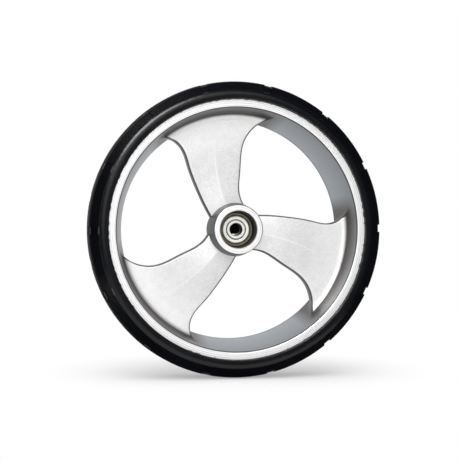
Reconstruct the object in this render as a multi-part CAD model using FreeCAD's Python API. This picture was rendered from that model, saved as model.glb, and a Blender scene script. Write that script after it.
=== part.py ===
"""Rollator wheel: a cast three-spoke wheel with a solid tyre, running on two shielded ball bearings.

Millimetres. The axle lies along Y through the origin, midway between the bearings. The front of the
wheel faces -Y and +Z is up.
"""
import FreeCAD, Part
import math
import os

# Tyre
TYRE_R = 95.0
TYRE_HEIGHT = 12.0
TYRE_WIDTH = 33.0
TYRE_MID_Y = -5.0
BEAD_RISE = 5.6
CREASE_DEPTH = 1.4
TREAD_WIDTH = 17.0
TREAD_CROWN = 0.4
SHOULDER_BULGE = 1.1
NOTCH_COUNT = 14
NOTCH_WIDTH = 5.0
NOTCH_DEPTH = 1.0
NOTCH_REACH = 2.5
NOTCH_START_DEG = 0.5

# Rim of the casting
FLANGE_THICK = 3.0
CHANNEL_WIDTH = 22.0
LIP_WIDTH = 4.0
LIP_ROUND = 1.2
RIM_WALL = 3.0
BARREL_TAPER = 6.2
SKIRT_LENGTH = 6.0
EDGE_ROUND = 0.6

# Spokes of the casting
SPOKE_COUNT = 3
SPOKE_START_DEG = 102.0
SPOKE_SETBACK = 13.4
SPOKE_THICK = 8.4
SPOKE_EDGE_ROUND = 1.2
SPOKE_FILLET = 4.5
FILLET_INSET = 0.5
FILLET_BITE = 0.1
RIDGE_TILT_DEG = 10.0
RIDGE_FADE = 0.792
# Lines of the spoke from hub to rim: share of the spoke's reach, offset from its middle
LEADING_EDGE = ((0.0, 9.0), (0.198, 15.0), (0.416, 19.0), (0.614, 21.3), (0.752, 22.8), (0.841, 27.2))
LEADING_END_DEG = 29.8
TRAILING_EDGE = ((0.129, -11.8), (0.198, -9.2), (0.287, -8.2), (0.475, -11.5), (0.713, -18.0), (0.802, -25.0))
TRAILING_END_DEG = -32.0
RIDGE_LINE = ((-0.1, -3.7), (0.247, 2.9), (0.495, 4.0), (0.792, 1.2), (1.09, -5.0))

# Hub of the casting
FRONT_RECESS = 9.0
REAR_RECESS = 3.0
HUB_FACE_R = 15.8
HUB_DRAFT = 1.8
MOUTH_FLARE = 0.8
SHOULDER_R = 8.2

# Ball bearings, the common 8 x 22 x 7 size
BORE_R = 4.0
BEARING_R = 11.0
BEARING_WIDTH = 7.0
BEARING_GAP = 4.0
RING_CHAMFER = 0.3
BALL_COUNT = 7
BALL_R = 1.984
PITCH_R = 7.5
RACE_CLEARANCE = 0.03
INNER_LAND_R = 6.05
OUTER_LAND_R = 9.0
SHIELD_SEAT_R = 9.7
SHIELD_SEAT_DEPTH = 0.9
SHIELD_THICK = 0.3
SHIELD_STEP = 0.45
SHIELD_FLAT_R = 8.35
SHIELD_GAP = 0.25
CAGE_THICK = 0.35
CAGE_WIDTH = 1.7
POCKET_CLEARANCE = 0.06
RIVET_R = 0.3
RIVET_HEAD_R = 0.55
RIVET_HEAD = 0.2

# Spacer between the inner rings
SPACER_R = 5.9
SPACER_BORE_CLEARANCE = 0.1

ORIGIN = FreeCAD.Vector(0, 0, 0)
AXLE = FreeCAD.Vector(0, 1, 0)
FACING = FreeCAD.Vector(0, -1, 0)

# The rim carries the tyre
FLANGE_R = TYRE_R - TYRE_HEIGHT

# Places along the axle
LIP_Y = TYRE_MID_Y - CHANNEL_WIDTH / 2 - FLANGE_THICK
CHANNEL_FRONT_Y = TYRE_MID_Y - CHANNEL_WIDTH / 2
CHANNEL_REAR_Y = TYRE_MID_Y + CHANNEL_WIDTH / 2
REAR_FLANGE_Y = CHANNEL_REAR_Y + FLANGE_THICK
BACK_Y = REAR_FLANGE_Y + SKIRT_LENGTH
SPOKE_FRONT_Y = LIP_Y + SPOKE_SETBACK
SPOKE_BACK_Y = SPOKE_FRONT_Y + SPOKE_THICK
BEARING_Y = (BEARING_GAP + BEARING_WIDTH) / 2
BEARING_FACE_Y = BEARING_GAP / 2 + BEARING_WIDTH
HUB_FRONT_Y = -BEARING_FACE_Y - FRONT_RECESS
HUB_REAR_Y = BEARING_FACE_Y + REAR_RECESS


def at(r, y):
    """Point of a turned profile: radius and place along the axle."""
    return FreeCAD.Vector(r, y, 0)


def line(a, b):
    return Part.LineSegment(a, b).toShape()


def arc(a, mid, b):
    return Part.Arc(a, mid, b).toShape()


def bulged(a, b, bulge):
    """Arc from a to b that stands off the straight line by bulge, to the left of its direction."""
    along = (b - a).normalize()
    left = FreeCAD.Vector(-along.y, along.x, 0)
    return arc(a, (a + b) * 0.5 + left * bulge, b)


def turned(edges):
    """Solid of revolution about the axle from the edges of a closed profile."""
    return Part.Face(Part.Wire(edges)).revolve(ORIGIN, AXLE, 360)


def turned_polygon(points):
    return turned([line(a, b) for a, b in zip(points, points[1:] + points[:1])])


def turned_to(shape, degrees):
    """Copy of a shape turned about the axle, counter-clockwise as seen from the front."""
    copy = shape.copy()
    copy.rotate(ORIGIN, FACING, degrees)
    return copy


def barrel_r(y):
    """Inner radius of the tapered barrel at a place along the axle."""
    front_r = FLANGE_R - LIP_WIDTH - LIP_ROUND
    return front_r - BARREL_TAPER * (y - LIP_Y) / (BACK_Y - LIP_Y)


def seat_r(y):
    """Radius of the channel floor, which follows the barrel so that the wall stays even."""
    return barrel_r(y) + RIM_WALL


def tyre_half(side):
    """Outer profile of one half of the tyre, from channel corner to crown; side is -1 at the front."""
    flange_y = TYRE_MID_Y + side * (CHANNEL_WIDTH / 2 + FLANGE_THICK)
    wall_y = TYRE_MID_Y + side * TYRE_WIDTH / 2
    tread_y = TYRE_MID_Y + side * TREAD_WIDTH / 2
    channel_y = TYRE_MID_Y + side * CHANNEL_WIDTH / 2
    bead_r = FLANGE_R + BEAD_RISE
    floor = at(seat_r(channel_y), channel_y)
    corner = at(FLANGE_R, channel_y)
    lip = at(FLANGE_R, flange_y)
    bead_top = at(FLANGE_R + BEAD_RISE / 2, wall_y)
    bead_edge = at(bead_r, flange_y + side * CREASE_DEPTH / 2)
    crease = at(bead_r + CREASE_DEPTH / 2, flange_y - side * CREASE_DEPTH / 2)
    tread_edge = at(TYRE_R - TREAD_CROWN, tread_y)
    crown = at(TYRE_R, TYRE_MID_Y)
    return [
        line(floor, corner),
        line(corner, lip),
        arc(lip, bead_top, bead_edge),
        line(bead_edge, crease),
        bulged(crease, tread_edge, side * SHOULDER_BULGE),
        line(tread_edge, crown),
    ]


def notch_cutter(side):
    """One shoulder notch at angle 0, an even depth below the shoulder from crease to tread."""
    flange_y = TYRE_MID_Y + side * (CHANNEL_WIDTH / 2 + FLANGE_THICK)
    tread_y = TYRE_MID_Y + side * TREAD_WIDTH / 2
    inner_y = tread_y - side * NOTCH_REACH
    crease_r = FLANGE_R + BEAD_RISE + CREASE_DEPTH / 2
    clear_r = TYRE_R + NOTCH_DEPTH
    clear_y = TYRE_MID_Y + side * TYRE_WIDTH
    floor_start = at(crease_r, flange_y - side * (CREASE_DEPTH / 2 + NOTCH_DEPTH))
    floor_edge = at(TYRE_R - TREAD_CROWN - NOTCH_DEPTH, tread_y - side * NOTCH_DEPTH / 2)
    floor_end = at(TYRE_R - TREAD_CROWN - NOTCH_DEPTH, inner_y)
    band = turned([
        bulged(floor_start, floor_edge, side * SHOULDER_BULGE),
        line(floor_edge, floor_end),
        line(floor_end, at(clear_r, inner_y)),
        line(at(clear_r, inner_y), at(clear_r, clear_y)),
        line(at(clear_r, clear_y), at(crease_r, clear_y)),
        line(at(crease_r, clear_y), floor_start),
    ])
    low_y = min(inner_y, clear_y)
    slab = Part.makeBox(
        clear_r, abs(clear_y - inner_y), NOTCH_WIDTH, FreeCAD.Vector(0, low_y, -NOTCH_WIDTH / 2)
    )
    return band.common(slab)


def make_tyre():
    """Solid tyre stretched into the rim's channel, with notched shoulders staggered front to rear."""
    front = tyre_half(-1)
    rear = tyre_half(1)
    seat = line(
        at(seat_r(CHANNEL_FRONT_Y), CHANNEL_FRONT_Y), at(seat_r(CHANNEL_REAR_Y), CHANNEL_REAR_Y)
    )
    tyre = turned(front + list(reversed(rear)) + [seat])
    pitch = 360.0 / NOTCH_COUNT
    notches = []
    for side, start in ((-1, NOTCH_START_DEG), (1, NOTCH_START_DEG + pitch / 2)):
        cutter = notch_cutter(side)
        notches += [turned_to(cutter, start + pitch * i) for i in range(NOTCH_COUNT)]
    return tyre.cut(notches)


def make_rim():
    """Tapered barrel with a machined front lip, two tyre flanges and a plain skirt at the rear."""
    lip_in_r = FLANGE_R - LIP_WIDTH
    round_y = LIP_Y + LIP_ROUND
    lip_start = at(lip_in_r, LIP_Y)
    lip_end = at(FLANGE_R - EDGE_ROUND, LIP_Y)
    inner_start = at(barrel_r(round_y), round_y)
    round_mid = at(
        lip_in_r - LIP_ROUND * math.sin(math.pi / 4), LIP_Y + LIP_ROUND * (1 - math.cos(math.pi / 4))
    )
    flange_side = at(FLANGE_R, LIP_Y + EDGE_ROUND)
    back_in = at(barrel_r(BACK_Y), BACK_Y - EDGE_ROUND)
    back_start = at(barrel_r(BACK_Y) + EDGE_ROUND, BACK_Y)
    back_end = at(seat_r(BACK_Y) - EDGE_ROUND, BACK_Y)
    back_out = at(seat_r(BACK_Y), BACK_Y - EDGE_ROUND)
    rear_edge = at(FLANGE_R - EDGE_ROUND, REAR_FLANGE_Y)
    rear_side = at(FLANGE_R, REAR_FLANGE_Y - EDGE_ROUND)
    path = [
        flange_side,
        at(FLANGE_R, CHANNEL_FRONT_Y),
        at(seat_r(CHANNEL_FRONT_Y), CHANNEL_FRONT_Y),
        at(seat_r(CHANNEL_REAR_Y), CHANNEL_REAR_Y),
        at(FLANGE_R, CHANNEL_REAR_Y),
        rear_side,
        rear_edge,
        at(seat_r(REAR_FLANGE_Y), REAR_FLANGE_Y),
        back_out,
        back_end,
        back_start,
        back_in,
        inner_start,
    ]
    edges = [line(a, b) for a, b in zip(path, path[1:])]
    edges.append(arc(inner_start, round_mid, lip_start))
    edges.append(line(lip_start, lip_end))
    edges.append(line(lip_end, flange_side))
    return turned(edges)


def spoke_edge(stations, end_deg, reach, inset):
    """Curve of one spoke edge in the wheel's plane, moved inwards by inset; the spoke points along +X."""
    inward = -math.copysign(inset, end_deg)
    points = [FreeCAD.Vector(share * reach, 0, offset + inward) for share, offset in stations]
    end = math.radians(end_deg) + inward / reach
    points.append(FreeCAD.Vector(reach * math.cos(end), 0, reach * math.sin(end)))
    curve = Part.BSplineCurve()
    curve.interpolate(points)
    return curve.toShape()


def spoke_outline(reach, inset):
    """Front view of one spoke, from inside the hub to the middle of the rim's wall."""
    leading = spoke_edge(LEADING_EDGE, LEADING_END_DEG, reach, inset)
    trailing = spoke_edge(TRAILING_EDGE, TRAILING_END_DEG, reach, inset)
    leading_hub, leading_rim = (v.Point for v in leading.Vertexes)
    trailing_hub, trailing_rim = (v.Point for v in trailing.Vertexes)
    rim = arc(leading_rim, FreeCAD.Vector(reach, 0, 0), trailing_rim)
    return Part.Face(Part.Wire([leading, rim, trailing, line(trailing_hub, leading_hub)]))


def spoke_roof(reach):
    """Solid with two facets that meet in a ridge, steep at the hub and flat before the rim."""
    half = reach * math.sin(math.radians(max(LEADING_END_DEG, -TRAILING_END_DEG))) + SPOKE_THICK
    back_y = SPOKE_BACK_Y + SPOKE_THICK
    sections = []
    for share, ridge in RIDGE_LINE:
        steepness = math.tan(math.radians(RIDGE_TILT_DEG)) * max(0.0, 1 - share / RIDGE_FADE) ** 2
        edge_y = SPOKE_FRONT_Y + steepness * half
        x = share * reach
        corners = [
            FreeCAD.Vector(x, back_y, -half),
            FreeCAD.Vector(x, back_y, half),
            FreeCAD.Vector(x, edge_y, half),
            FreeCAD.Vector(x, SPOKE_FRONT_Y, ridge),
            FreeCAD.Vector(x, edge_y, -half),
        ]
        sections.append(Part.makePolygon(corners + corners[:1]))
    return Part.makeLoft(sections, True, False)


def rim_fillet(face_y, side):
    """Concave ring that blends a spoke face into the barrel; side is -1 at the front face."""
    wall_r = barrel_r(face_y)
    foot_y = face_y - side * FILLET_BITE
    top_y = face_y + side * SPOKE_FILLET
    buried_y = face_y - side * SPOKE_EDGE_ROUND
    hollow = SPOKE_FILLET * (1 - math.sin(math.pi / 4))
    foot = at(wall_r - SPOKE_FILLET, foot_y)
    top = at(barrel_r(top_y) + FILLET_BITE, top_y)
    mid = at((wall_r + top.x) / 2 - hollow, foot_y + side * hollow)
    wall_top = at(barrel_r(top_y) + RIM_WALL / 2, top_y)
    wall_foot = at(barrel_r(buried_y) + RIM_WALL / 2, buried_y)
    buried = at(foot.x, buried_y)
    return turned([
        arc(foot, mid, top),
        line(top, wall_top),
        line(wall_top, wall_foot),
        line(wall_foot, buried),
        line(buried, foot),
    ])


def is_flank_edge(edge):
    """True for an edge that runs from hub to rim along a spoke's flank."""
    box = edge.BoundBox
    return box.XLength > FLANGE_R / 2 and abs(box.Center.z) > HUB_FACE_R / 2


def make_spoke():
    """One swept blade with a ridge down its front, rounded edges and a fillet at the rim."""
    reach = (barrel_r(SPOKE_FRONT_Y) + seat_r(SPOKE_BACK_Y)) / 2
    slab = spoke_outline(reach, 0).extrude(AXLE * (SPOKE_BACK_Y - LIP_Y))
    slab.translate(AXLE * LIP_Y)
    blade = slab.common(spoke_roof(reach))
    flanks = [e for e in blade.Edges if is_flank_edge(e)]
    blade = blade.makeFillet(SPOKE_EDGE_ROUND, flanks)
    column = spoke_outline(reach, FILLET_INSET).extrude(AXLE * (BACK_Y - LIP_Y))
    column.translate(AXLE * LIP_Y)
    rings = rim_fillet(SPOKE_FRONT_Y, -1).fuse(rim_fillet(SPOKE_BACK_Y, 1))
    return blade.fuse(rings.common(column))


def make_hub():
    """Drafted boss round the bearings, widest where the spokes leave it."""
    base_r = HUB_FACE_R + HUB_DRAFT
    middle_y = (SPOKE_FRONT_Y + SPOKE_BACK_Y) / 2
    return turned_polygon([
        at(0, HUB_FRONT_Y),
        at(HUB_FACE_R - EDGE_ROUND, HUB_FRONT_Y),
        at(HUB_FACE_R, HUB_FRONT_Y + EDGE_ROUND),
        at(base_r, middle_y),
        at(HUB_FACE_R, HUB_REAR_Y - EDGE_ROUND),
        at(HUB_FACE_R - EDGE_ROUND, HUB_REAR_Y),
        at(0, HUB_REAR_Y),
    ])


def make_hub_cavity():
    """Space for the two bearings, with flared mouths and a shoulder that keeps the bearings apart."""
    shoulder_y = BEARING_GAP / 2
    mouth_r = BEARING_R + MOUTH_FLARE
    return turned_polygon([
        at(0, HUB_FRONT_Y),
        at(mouth_r, HUB_FRONT_Y),
        at(BEARING_R, -BEARING_FACE_Y),
        at(BEARING_R, -shoulder_y),
        at(SHOULDER_R, -shoulder_y),
        at(SHOULDER_R, shoulder_y),
        at(BEARING_R, shoulder_y),
        at(BEARING_R, BEARING_FACE_Y),
        at(mouth_r, HUB_REAR_Y),
        at(0, HUB_REAR_Y),
    ])


def make_casting():
    """Rim, spokes and hub, cast as one piece and bored for the bearings."""
    spoke = make_spoke()
    pitch = 360.0 / SPOKE_COUNT
    spokes = [turned_to(spoke, SPOKE_START_DEG + pitch * i) for i in range(SPOKE_COUNT)]
    return make_rim().fuse(spokes + [make_hub()]).cut(make_hub_cavity()).removeSplitter()


def make_outer_ring():
    """Outer ring with a deep groove for the balls and a seat for a shield at each face."""
    half = BEARING_WIDTH / 2
    ledge = half - SHIELD_SEAT_DEPTH
    ring = turned_polygon([
        at(OUTER_LAND_R, -ledge),
        at(SHIELD_SEAT_R, -ledge),
        at(SHIELD_SEAT_R, -half),
        at(BEARING_R - RING_CHAMFER, -half),
        at(BEARING_R, -half + RING_CHAMFER),
        at(BEARING_R, half - RING_CHAMFER),
        at(BEARING_R - RING_CHAMFER, half),
        at(SHIELD_SEAT_R, half),
        at(SHIELD_SEAT_R, ledge),
        at(OUTER_LAND_R, ledge),
    ])
    return ring.cut(make_race())


def make_inner_ring():
    """Inner ring with the other half of the groove; the axle passes through its bore."""
    half = BEARING_WIDTH / 2
    ring = turned_polygon([
        at(BORE_R, -half + RING_CHAMFER),
        at(BORE_R + RING_CHAMFER, -half),
        at(INNER_LAND_R - RING_CHAMFER, -half),
        at(INNER_LAND_R, -half + RING_CHAMFER),
        at(INNER_LAND_R, half - RING_CHAMFER),
        at(INNER_LAND_R - RING_CHAMFER, half),
        at(BORE_R + RING_CHAMFER, half),
        at(BORE_R, half - RING_CHAMFER),
    ])
    return ring.cut(make_race())


def make_race():
    """Ring-shaped track that the balls run in."""
    return Part.makeTorus(PITCH_R, BALL_R + RACE_CLEARANCE, ORIGIN, AXLE)


def make_shield(side):
    """Pressed steel shield, crimped into the outer ring's seat and clear of the inner ring."""
    ledge = BEARING_WIDTH / 2 - SHIELD_SEAT_DEPTH
    inner_r = INNER_LAND_R + SHIELD_GAP
    raised = ledge + SHIELD_STEP
    return turned_polygon([
        at(SHIELD_SEAT_R, side * ledge),
        at(SHIELD_SEAT_R, side * (ledge + SHIELD_THICK)),
        at(SHIELD_FLAT_R + SHIELD_STEP, side * (ledge + SHIELD_THICK)),
        at(SHIELD_FLAT_R, side * (raised + SHIELD_THICK)),
        at(inner_r, side * (raised + SHIELD_THICK)),
        at(inner_r, side * raised),
        at(SHIELD_FLAT_R - SHIELD_THICK / 2, side * raised),
        at(SHIELD_FLAT_R + SHIELD_STEP - SHIELD_THICK / 2, side * ledge),
    ])


def ball_centre(i):
    angle = 2 * math.pi * i / BALL_COUNT
    return FreeCAD.Vector(PITCH_R * math.cos(angle), 0, PITCH_R * math.sin(angle))


def rivet_centre(i):
    return ball_centre(i + 0.5)


def band(inner_r, outer_r, y0, y1):
    """Plain ring about the axle."""
    return turned_polygon([at(inner_r, y0), at(outer_r, y0), at(outer_r, y1), at(inner_r, y1)])


def make_cage_half(side):
    """Pressed ribbon with a cup for each ball; two of them are riveted back to back."""
    inner_r = PITCH_R - CAGE_WIDTH / 2
    outer_r = PITCH_R + CAGE_WIDTH / 2
    pocket_r = BALL_R + POCKET_CLEARANCE
    cup_r = pocket_r + CAGE_THICK
    strip = band(inner_r, outer_r, 0, side * CAGE_THICK)
    sleeve = band(inner_r, outer_r, 0, side * 2 * cup_r)
    cups = [Part.makeSphere(cup_r, ball_centre(i), AXLE) for i in range(BALL_COUNT)]
    pockets = [Part.makeSphere(pocket_r, ball_centre(i), AXLE) for i in range(BALL_COUNT)]
    holes = [rivet_shank(i) for i in range(BALL_COUNT)]
    crowns = Part.makeCompound(cups).common(sleeve)
    return strip.fuse(crowns.Solids).cut(pockets + holes)


def rivet_shank(i):
    length = 2 * CAGE_THICK
    return Part.makeCylinder(RIVET_R, length, rivet_centre(i) - AXLE * (length / 2), AXLE)


def make_rivets():
    """Small rivets that hold the two cage halves together, one between each pair of balls."""
    rivets = []
    for i in range(BALL_COUNT):
        low = rivet_centre(i) - AXLE * (CAGE_THICK + RIVET_HEAD)
        high = rivet_centre(i) + AXLE * CAGE_THICK
        heads = [Part.makeCylinder(RIVET_HEAD_R, RIVET_HEAD, end, AXLE) for end in (low, high)]
        rivets.append(rivet_shank(i).fuse(heads).removeSplitter())
    return Part.makeCompound(rivets)


def bearing_pieces(side):
    """Named pieces of the bearing at one end of the hub; side is -1 at the front."""
    name = "front" if side < 0 else "rear"
    pieces = {
        name + "_outer_ring": make_outer_ring(),
        name + "_inner_ring": make_inner_ring(),
        name + "_outward_shield": make_shield(side),
        name + "_inward_shield": make_shield(-side),
        name + "_outward_cage_half": make_cage_half(side),
        name + "_inward_cage_half": make_cage_half(-side),
        name + "_cage_rivets": make_rivets(),
    }
    for i in range(BALL_COUNT):
        pieces["%s_ball_%d" % (name, i + 1)] = Part.makeSphere(BALL_R, ball_centre(i), AXLE)
    for piece in pieces.values():
        piece.translate(AXLE * side * BEARING_Y)
    return pieces


def make_spacer():
    """Sleeve that keeps the inner rings apart when the axle bolt is tightened."""
    return band(BORE_R + SPACER_BORE_CLEARANCE, SPACER_R, -BEARING_GAP / 2, BEARING_GAP / 2)


nodes = {"tyre": make_tyre(), "wheel_casting": make_casting(), "spacer_tube": make_spacer()}
nodes.update(bearing_pieces(-1))
nodes.update(bearing_pieces(1))

os.makedirs("parts", exist_ok=True)
for node, shape in nodes.items():
    shape.exportStep("parts/" + node + ".step")
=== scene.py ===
"""Looks of a rollator wheel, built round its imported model. Sizes are in millimetres until they meet a mesh.

The axle lies along Y, the front of the wheel faces -Y, and angles run counter-clockwise as seen from the front.
"""
import math

import bmesh
import bpy
import numpy as np
from mathutils import Matrix, Vector, noise


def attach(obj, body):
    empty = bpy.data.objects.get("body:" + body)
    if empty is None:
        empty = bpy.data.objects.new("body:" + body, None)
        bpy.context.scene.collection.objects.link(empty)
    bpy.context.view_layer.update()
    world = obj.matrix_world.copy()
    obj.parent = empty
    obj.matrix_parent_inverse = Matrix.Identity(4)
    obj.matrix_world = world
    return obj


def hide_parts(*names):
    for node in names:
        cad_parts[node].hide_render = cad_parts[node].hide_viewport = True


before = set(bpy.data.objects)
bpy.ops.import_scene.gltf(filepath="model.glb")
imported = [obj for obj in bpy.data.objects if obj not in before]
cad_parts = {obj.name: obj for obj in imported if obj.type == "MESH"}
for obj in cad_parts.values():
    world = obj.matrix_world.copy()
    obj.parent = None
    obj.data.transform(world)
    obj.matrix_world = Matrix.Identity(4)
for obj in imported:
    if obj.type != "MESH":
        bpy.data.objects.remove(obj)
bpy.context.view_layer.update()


# Wheel casting: rim, three swept spokes and hub, die cast in aluminium as one piece and sprayed with silver
# lacquer. The lip of the rim and the front of the hub are then turned bright, and both ends of the hub are
# bored for the bearings.
MM = 0.001
MERGE_GAP, SLIVER_GAP, CUT_PAST = 0.001, 0.002, 1.0
RIM_STEPS, HUB_STEPS = 360, 144
FLANGE_R = 83.0
LIP_Y, BACK_Y = -19.0, 15.0
CHANNEL_FRONT_Y, CHANNEL_REAR_Y, REAR_FLANGE_Y = -16.0, 6.0, 9.0
BARREL_FRONT_R, BARREL_TAPER, RIM_WALL = 77.8, 6.2, 3.0
LIP_ROUND, HUB_ROUND, EDGE_ROUND, CORNER_ROUND = 1.6, 1.0, 0.6, 0.3
HUB_FACE_R, HUB_BASE_R = 15.8, 17.6
HUB_FRONT_Y, HUB_BASE_Y, HUB_REAR_Y = -18.0, -1.4, 12.0
BEARING_R, SHOULDER_R, MOUTH_R = 11.0, 8.2, 11.8
BEARING_FACE_Y, SHOULDER_Y, MOUTH_CHAMFER = 9.0, 2.0, 0.35
SPOKE_FRONT_Y, SPOKE_BACK_Y, SPOKE_EDGE_ROUND = -5.6, 2.8, 1.2
SPOKE_REACH, SPOKE_ANGLES = 76.1, (102.0, 222.0, 342.0)
# Lines of the spoke from hub to rim, as (place along it, offset from its middle), and the rows of its mesh
LEADING_EDGE = ((0.0, 9.0), (15.1, 15.0), (31.7, 19.0), (46.7, 21.3), (57.2, 22.8), (64.0, 27.2), (66.0, 37.8))
TRAILING_EDGE = (
    (9.8, -11.8), (15.1, -9.2), (21.8, -8.2), (36.1, -11.5), (54.3, -18.0), (61.0, -25.0), (64.5, -40.3)
)
RIDGE_LINE = ((-7.6, -3.7), (18.8, 2.9), (37.7, 4.0), (60.3, 1.2), (82.9, -5.0))
RIDGE_TILT, RIDGE_END, RIDGE_SOFT = math.tan(math.radians(10)), 60.3, 0.6
SPOKE_START_R = 11.5, 15.4
BLADE_ROWS, ROOT_ROWS, BEND_ROWS, LAST_ROWS = (0, 0.82, 40), (0.84, 0.905, 6), 12, [0.995, 1.0]
FILLET_R, FILLET_STEEPEST = 4.95, math.radians(65)
FRONT_FILLET_FOOT_R, BACK_FILLET_FOOT_R = 70.9, 69.3
BACK_FILLET_TOP, BACK_FILLET_LEAN = 5.4, 1.35
# Bounds of the finishes: painted sheen and painted shade on the lacquer, turned faces, the bore's painted shade
# and the crest's painted highlight
SHEEN_MIDDLE_R, SHEEN_EVEN, SHEEN_FULL = 44.0, 6.0, 26.0
BARREL_START_R, BARREL_FULL_R, HUB_SHADE_WIDTH = 68.0, 72.0, 2.0
HOLLOW_FULL, HOLLOW_END, HOLLOW_LEAN = 29.0, 36.0, 1.0
TURNED_DEPTH, TURNED_FACING, BORED_EDGE, BORED_FACING = 0.3, 0.8, 0.1, 0.6
CREST_BAND = 0.2


def barrel_r(y):
    """Inner radius of the tapered barrel."""
    return BARREL_FRONT_R - BARREL_TAPER * (y - LIP_Y) / (BACK_Y - LIP_Y)


def seat_r(y):
    return barrel_r(y) + RIM_WALL


def softened(corners):
    """Profile with each corner (radius, place along the axle, rounding) rounded as stated."""
    segments = 5
    points = []
    for i, (r, y, rounding) in enumerate(corners):
        corner = Vector((r, y))
        if not rounding:
            points.append(corner)
            continue
        before = (Vector(corners[i - 1][:2]) - corner).normalized()
        after = (Vector(corners[(i + 1) % len(corners)][:2]) - corner).normalized()
        half = before.angle(after) / 2
        centre = corner + (before + after).normalized() * (rounding / math.sin(half))
        first = (corner + before * (rounding / math.tan(half)) - centre).normalized()
        last = (corner + after * (rounding / math.tan(half)) - centre).normalized()
        for k in range(segments + 1):
            points.append(centre + first.slerp(last, k / segments) * rounding)
    return points


def turned(name, points, steps):
    """Solid of revolution about the axle from a closed profile of (radius, place along the axle)."""
    bpy.ops.object.select_all(action="DESELECT")
    bpy.ops.mesh.primitive_plane_add(size=MM)
    piece = bpy.context.object
    piece.name = piece.data.name = name
    bpy.ops.object.mode_set(mode="EDIT")
    bpy.ops.mesh.select_mode(type="VERT")
    bpy.ops.mesh.select_all(action="SELECT")
    bpy.ops.mesh.merge(type="CENTER")
    bpy.ops.transform.translate(value=(points[0][0] * MM, points[0][1] * MM, 0))
    for a, b in zip(points, points[1:] + points[:1]):
        step = ((b[0] - a[0]) * MM, (b[1] - a[1]) * MM, 0)
        bpy.ops.mesh.extrude_vertices_move(TRANSFORM_OT_translate={"value": step})
    bpy.ops.mesh.select_all(action="SELECT")
    bpy.ops.mesh.remove_doubles(threshold=MERGE_GAP * MM)
    bpy.ops.mesh.spin(steps=steps, angle=math.tau, center=(0, 0, 0), axis=(0, 1, 0))
    bpy.ops.mesh.select_all(action="SELECT")
    bpy.ops.mesh.remove_doubles(threshold=MERGE_GAP * MM)
    bpy.ops.mesh.normals_make_consistent(inside=False)
    bpy.ops.object.mode_set(mode="OBJECT")
    return piece


def smooth_line(points):
    """Fine points along the smooth curve through a few points, spaced by the distance between them."""
    per_span = 80
    p = np.array(points, float)
    t = np.concatenate(([0.0], np.cumsum(np.linalg.norm(np.diff(p, axis=0), axis=1))))
    gap = np.diff(t)
    weights, wanted = np.eye(len(p)), np.zeros_like(p)
    for end, near in ((0, slice(0, 4)), (-1, slice(-4, None))):
        for axis in (0, 1):
            wanted[end, axis] = np.polyval(np.polyder(np.polyfit(t[near] - t[end], p[near, axis], 3)), 0)
    for i in range(1, len(p) - 1):
        before, after = 1 / gap[i - 1], 1 / gap[i]
        weights[i, i - 1:i + 2] = before, 2 * (before + after), after
        wanted[i] = 3 * ((p[i] - p[i - 1]) * before ** 2 + (p[i + 1] - p[i]) * after ** 2)
    slope = np.linalg.solve(weights, wanted)
    fine = []
    for i, h in enumerate(gap):
        for s in np.linspace(0, 1, per_span, endpoint=i == len(gap) - 1):
            fine.append(
                p[i] * (1 + 2 * s) * (1 - s) ** 2 + p[i + 1] * s * s * (3 - 2 * s)
                + slope[i] * h * s * (1 - s) ** 2 + slope[i + 1] * h * s * s * (s - 1)
            )
    return np.array(fine)


def fillet_rise(distance):
    """Height of the hollow that climbs the barrel, at a distance past its foot."""
    if distance <= 0:
        return 0.0
    bend = FILLET_R * math.sin(FILLET_STEEPEST)
    if distance < bend:
        return FILLET_R - math.sqrt(FILLET_R ** 2 - distance ** 2)
    return FILLET_R * (1 - math.cos(FILLET_STEEPEST)) + (distance - bend) * math.tan(FILLET_STEEPEST)


def edge_at(line, radius, inward):
    """Point of a spoke's edge at a radius, and the direction from it into the blade."""
    reach = np.hypot(line[:, 0], line[:, 1])
    run = np.gradient(line, axis=0)
    point = Vector([np.interp(radius, reach, line[:, k]) for k in (0, 1)])
    along = Vector([np.interp(radius, reach, run[:, k]) for k in (0, 1)]).normalized()
    return point, Vector((-along.y, along.x)) * inward


def swept(a, b, share):
    """Point between a and b on the line that turns about the axle as it goes."""
    turn_a, turn_b = math.atan2(a.y, a.x), math.atan2(b.y, b.x)
    r = a.length + (b.length - a.length) * share
    turn = turn_a + (turn_b - turn_a) * share
    return Vector((r * math.cos(turn), r * math.sin(turn)))


def spoke_row(leading, trailing, ridge, share):
    """Points across a spoke as (place in the wheel's plane, depth of the rounding there)."""
    halvings, facets, round_step = 30, 7, 18
    start_a, start_b = SPOKE_START_R
    a, into_a = edge_at(leading, start_a + (SPOKE_REACH - start_a) * share, -1)
    b, into_b = edge_at(trailing, start_b + (SPOKE_REACH - start_b) * share, 1)
    rounds = []
    for degrees in range(0, 91, round_step):
        turn = math.radians(degrees)
        rounds.append((SPOKE_EDGE_ROUND * (1 - math.cos(turn)), SPOKE_EDGE_ROUND * (1 - math.sin(turn))))
    inner_a, inner_b = a + into_a * SPOKE_EDGE_ROUND, b + into_b * SPOKE_EDGE_ROUND
    low, high = 0.0, 1.0
    for _ in range(halvings):
        middle = (low + high) / 2
        p = swept(inner_a, inner_b, middle)
        if p.y > np.interp(p.x, ridge[:, 0], ridge[:, 1]):
            low = middle
        else:
            high = middle
    soft = RIDGE_SOFT / (inner_a - inner_b).length
    shares = [low * k / facets for k in range(1, facets)] + [low - soft, low, low + soft]
    shares += [low + (1 - low) * k / facets for k in range(1, facets)]
    row = [(a + into_a * inset, drop) for inset, drop in rounds]
    row += [(swept(inner_a, inner_b, s), 0.0) for s in sorted(shares)]
    row += [(b + into_b * inset, drop) for inset, drop in reversed(rounds)]
    return row


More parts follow.
